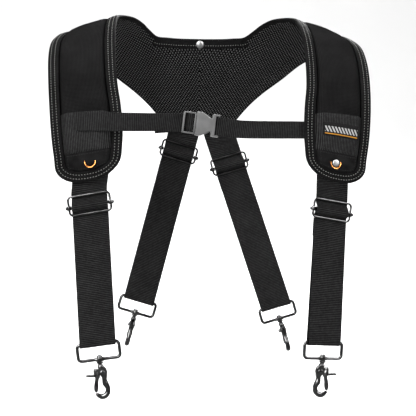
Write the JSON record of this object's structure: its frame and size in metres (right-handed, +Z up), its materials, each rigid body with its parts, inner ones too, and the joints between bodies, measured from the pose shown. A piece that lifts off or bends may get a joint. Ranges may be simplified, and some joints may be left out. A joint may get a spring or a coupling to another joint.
{
  "type": "tool belt suspenders",
  "caption": "Padded shoulder yoke with adjustable webbing straps ending in swivel snap hooks, and a chest strap with a side-release buckle, made to carry a tool belt.",
  "frame": {"origin": "under the crest of the shoulders, midway between the two pads, where the wearer's shoulders carry the yoke", "axes": "+Z up, -Y to the wearer's front, +X to the right as seen from the front"},
  "size_m": [0.4664, 0.2872, 0.5631],
  "materials": {
    "mesh_fabric": "black three-dimensional air mesh with diamond holes",
    "foam": "closed-cell foam, hidden",
    "shell_nylon": "coarse black ballistic nylon",
    "binding": "black woven tape with two rows of light stitches",
    "webbing": "black ribbed polypropylene webbing",
    "patch": "smooth black coated nylon",
    "label": "black woven tag with a plain stripe",
    "copper": "polished copper",
    "nickel": "satin nickel",
    "grey_plastic": "moulded mid-grey acetal",
    "gunmetal": "glossy black nickel plating"
  },
  "bodies": {
    "yoke": {"mesh_lining_left": "mesh_fabric", "mesh_lining_right": "mesh_fabric", "foam_core": "foam", "outer_shell": "shell_nylon", "edge_binding": "binding", "web_panel_left": "webbing", "web_panel_right": "webbing", "end_patch_left": "patch", "end_patch_right": "patch", "eyelet_left": "copper", "eyelet_right": "copper", "pivot_rivet_left": "nickel", "pivot_rivet_right": "nickel", "label_patch": "label", "neck_snap": "nickel", "back_patch": "patch", "chest_strap_left": "webbing", "chest_strap_right": "webbing", "buckle_plug": "grey_plastic", "back_left_webbing": "webbing", "back_right_webbing": "webbing"},
    "front_left_strap": {"front_left_webbing": "webbing"},
    "front_left_slider": {"front_left_slider_bar": "gunmetal"},
    "front_left_frame": {"front_left_slider_frame": "gunmetal"},
    "front_left_loop": {"front_left_webbing_loop": "webbing"},
    "front_left_ring": {"front_left_ring": "gunmetal"},
    "front_left_hook": {"front_left_hook": "gunmetal", "front_left_gate_pin": "gunmetal", "front_left_gate_spring": "nickel"},
    "front_left_gate": {"front_left_gate": "gunmetal"},
    "front_right_strap": {"front_right_webbing": "webbing"},
    "front_right_slider": {"front_right_slider_bar": "gunmetal"},
    "front_right_frame": {"front_right_slider_frame": "gunmetal"},
    "front_right_loop": {"front_right_webbing_loop": "webbing"},
    "front_right_ring": {"front_right_ring": "gunmetal"},
    "front_right_hook": {"front_right_hook": "gunmetal", "front_right_gate_pin": "gunmetal", "front_right_gate_spring": "nickel"},
    "front_right_gate": {"front_right_gate": "gunmetal"},
    "back_left_slider": {"back_left_slider_bar": "gunmetal"},
    "back_left_frame": {"back_left_slider_frame": "gunmetal"},
    "back_left_loop": {"back_left_webbing_loop": "webbing"},
    "back_left_ring": {"back_left_ring": "gunmetal"},
    "back_left_hook": {"back_left_hook": "gunmetal", "back_left_gate_pin": "gunmetal", "back_left_gate_spring": "nickel"},
    "back_left_gate": {"back_left_gate": "gunmetal"},
    "back_right_slider": {"back_right_slider_bar": "gunmetal"},
    "back_right_frame": {"back_right_slider_frame": "gunmetal"},
    "back_right_loop": {"back_right_webbing_loop": "webbing"},
    "back_right_ring": {"back_right_ring": "gunmetal"},
    "back_right_hook": {"back_right_hook": "gunmetal", "back_right_gate_pin": "gunmetal", "back_right_gate_spring": "nickel"},
    "back_right_gate": {"back_right_gate": "gunmetal"},
    "buckle_socket": {"buckle_socket": "grey_plastic"},
    "prong_upper": {"prong_upper": "grey_plastic"},
    "prong_lower": {"prong_lower": "grey_plastic"}
  },
  "joints": [
    {"name": "front_left_pivot", "type": "hinge", "parent": "yoke", "child": "front_left_strap", "pos_m": [-0.17048, -0.11957, -0.20931], "axis": [-0.1698, -0.9834, 0.0635], "range_deg": [-15, 15]},
    {"name": "front_left_adjust", "type": "slide", "parent": "front_left_strap", "child": "front_left_slider", "axis": [0.0557, -0.0029, -0.9984], "range_m": [-0.008, 0.15], "deforming": ["front_left_webbing"]},
    {"name": "front_left_frame_slip", "type": "slide", "parent": "front_left_slider", "child": "front_left_frame", "axis": [-0.1648, 0.0086, 0.9863], "range_m": [-0.003, 0.003]},
    {"name": "front_left_loop_length", "type": "slide", "parent": "front_left_slider", "child": "front_left_loop", "axis": [0.0557, -0.0029, -0.9984], "range_m": [-0.075, 0.004], "deforming": ["front_left_webbing_loop"]},
    {"name": "front_left_ring_swing", "type": "hinge", "parent": "front_left_loop", "child": "front_left_ring", "pos_m": [-0.16182, -0.12076, -0.4592], "axis": [0.9908, -0.0519, 0.1253], "range_deg": [-75, 75]},
    {"name": "front_left_swivel", "type": "hinge", "parent": "front_left_ring", "child": "front_left_hook", "pos_m": [-0.15898, -0.12091, -0.48172], "axis": [-0.075, 0, 0.9972], "continuous": true},
    {"name": "front_left_gate_hinge", "type": "hinge", "parent": "front_left_hook", "child": "front_left_gate", "pos_m": [-0.155, -0.12091, -0.50008], "axis": [0, -1, 0], "range_deg": [0, 14], "stiffness_Nm_per_rad": 0.25, "springref_deg": -17.19},
    {"name": "front_right_pivot", "type": "hinge", "parent": "yoke", "child": "front_right_strap", "pos_m": [0.16995, -0.11685, -0.20931], "axis": [0.2318, -0.9721, 0.0364], "range_deg": [-15, 15]},
    {"name": "front_right_adjust", "type": "slide", "parent": "front_right_strap", "child": "front_right_slider", "axis": [-0.0677, -0.0169, -0.9976], "range_m": [-0.008, 0.15], "deforming": ["front_right_webbing"]},
    {"name": "front_right_frame_slip", "type": "slide", "parent": "front_right_slider", "child": "front_right_frame", "axis": [0.1535, 0.0383, 0.9874], "range_m": [-0.003, 0.003]},
    {"name": "front_right_loop_length", "type": "slide", "parent": "front_right_slider", "child": "front_right_loop", "axis": [-0.0677, -0.0169, -0.9976], "range_m": [-0.075, 0.004], "deforming": ["front_right_webbing_loop"]},
    {"name": "front_right_ring_swing", "type": "hinge", "parent": "front_right_loop", "child": "front_right_ring", "pos_m": [0.15788, -0.11215, -0.46305], "axis": [0.9682, 0.2414, -0.0663], "range_deg": [-75, 75]},
    {"name": "front_right_swivel", "type": "hinge", "parent": "front_right_ring", "child": "front_right_hook", "pos_m": [0.15642, -0.11251, -0.4857], "axis": [0.0576, 0, 0.9983], "continuous": true},
    {"name": "front_right_gate_hinge", "type": "hinge", "parent": "front_right_hook", "child": "front_right_gate", "pos_m": [0.15275, -0.11251, -0.50411], "axis": [0, 1, 0], "range_deg": [0, 14], "stiffness_Nm_per_rad": 0.25, "springref_deg": -17.19},
    {"name": "back_left_adjust", "type": "slide", "parent": "yoke", "child": "back_left_slider", "axis": [-0.2588, 0, -0.9659], "range_m": [-0.008, 0.15], "deforming": ["back_left_webbing"]},
    {"name": "back_left_frame_slip", "type": "slide", "parent": "back_left_slider", "child": "back_left_frame", "axis": [0.284, 0, 0.9588], "range_m": [-0.003, 0.003]},
    {"name": "back_left_loop_length", "type": "slide", "parent": "back_left_slider", "child": "back_left_loop", "axis": [-0.2588, 0, -0.9659], "range_m": [-0.075, 0.004], "deforming": ["back_left_webbing_loop"]},
    {"name": "back_left_ring_swing", "type": "hinge", "parent": "back_left_loop", "child": "back_left_ring", "pos_m": [-0.0964, 0.1296, -0.4201], "axis": [0.9563, 0, -0.2924], "range_deg": [-75, 75]},
    {"name": "back_left_swivel", "type": "hinge", "parent": "back_left_ring", "child": "back_left_hook", "pos_m": [-0.10304, 0.1296, -0.44181], "axis": [0.2639, 0, 0.9646], "continuous": true},
    {"name": "back_left_gate_hinge", "type": "hinge", "parent": "back_left_hook", "child": "back_left_gate", "pos_m": [-0.10794, 0.127, -0.45975], "axis": [-0.9646, 0, 0.2639], "range_deg": [0, 14], "stiffness_Nm_per_rad": 0.25, "springref_deg": -17.19},
    {"name": "back_right_adjust", "type": "slide", "parent": "yoke", "child": "back_right_slider", "axis": [0.314, 0, -0.9494], "range_m": [-0.008, 0.15], "deforming": ["back_right_webbing"]},
    {"name": "back_right_frame_slip", "type": "slide", "parent": "back_right_slider", "child": "back_right_frame", "axis": [-0.2672, 0, 0.9636], "range_m": [-0.003, 0.003]},
    {"name": "back_right_loop_length", "type": "slide", "parent": "back_right_slider", "child": "back_right_loop", "axis": [0.314, 0, -0.9494], "range_m": [-0.075, 0.004], "deforming": ["back_right_webbing_loop"]},
    {"name": "back_right_ring_swing", "type": "hinge", "parent": "back_right_loop", "child": "back_right_ring", "pos_m": [0.1277, 0.1296, -0.43191], "axis": [0.9613, 0, 0.2756], "range_deg": [-75, 75]},
    {"name": "back_right_swivel", "type": "hinge", "parent": "back_right_ring", "child": "back_right_hook", "pos_m": [0.13396, 0.1296, -0.45373], "axis": [-0.2756, 0, 0.9613], "continuous": true},
    {"name": "back_right_gate_hinge", "type": "hinge", "parent": "back_right_hook", "child": "back_right_gate", "pos_m": [0.13908, 0.127, -0.47161], "axis": [-0.9613, 0, -0.2756], "range_deg": [0, 14], "stiffness_Nm_per_rad": 0.25, "springref_deg": -17.19},
    {"name": "buckle_release", "type": "slide", "parent": "yoke", "child": "buckle_socket", "axis": [0.9925, 0, -0.1219], "range_m": [0, 0.032], "deforming": ["chest_strap_right"]},
    {"name": "prong_upper_flex", "type": "hinge", "parent": "yoke", "child": "prong_upper", "pos_m": [-0.02693, -0.132, -0.14616], "axis": [0, 1, 0], "range_deg": [0, 6], "stiffness_Nm_per_rad": 0.4, "deforming": ["prong_upper"]},
    {"name": "prong_lower_flex", "type": "hinge", "parent": "yoke", "child": "prong_lower", "pos_m": [-0.02893, -0.132, -0.16244], "axis": [0, 1, 0], "range_deg": [-6, 0], "stiffness_Nm_per_rad": 0.4, "deforming": ["prong_lower"]}
  ],
  "couplings": [
    {"joint": "front_left_loop_length", "follows": "front_left_adjust", "ratio": -0.5},
    {"joint": "front_right_loop_length", "follows": "front_right_adjust", "ratio": -0.5},
    {"joint": "back_left_loop_length", "follows": "back_left_adjust", "ratio": -0.5},
    {"joint": "back_right_loop_length", "follows": "back_right_adjust", "ratio": -0.5},
    {"joint": "prong_lower_flex", "follows": "prong_upper_flex", "ratio": -1}
  ]
}
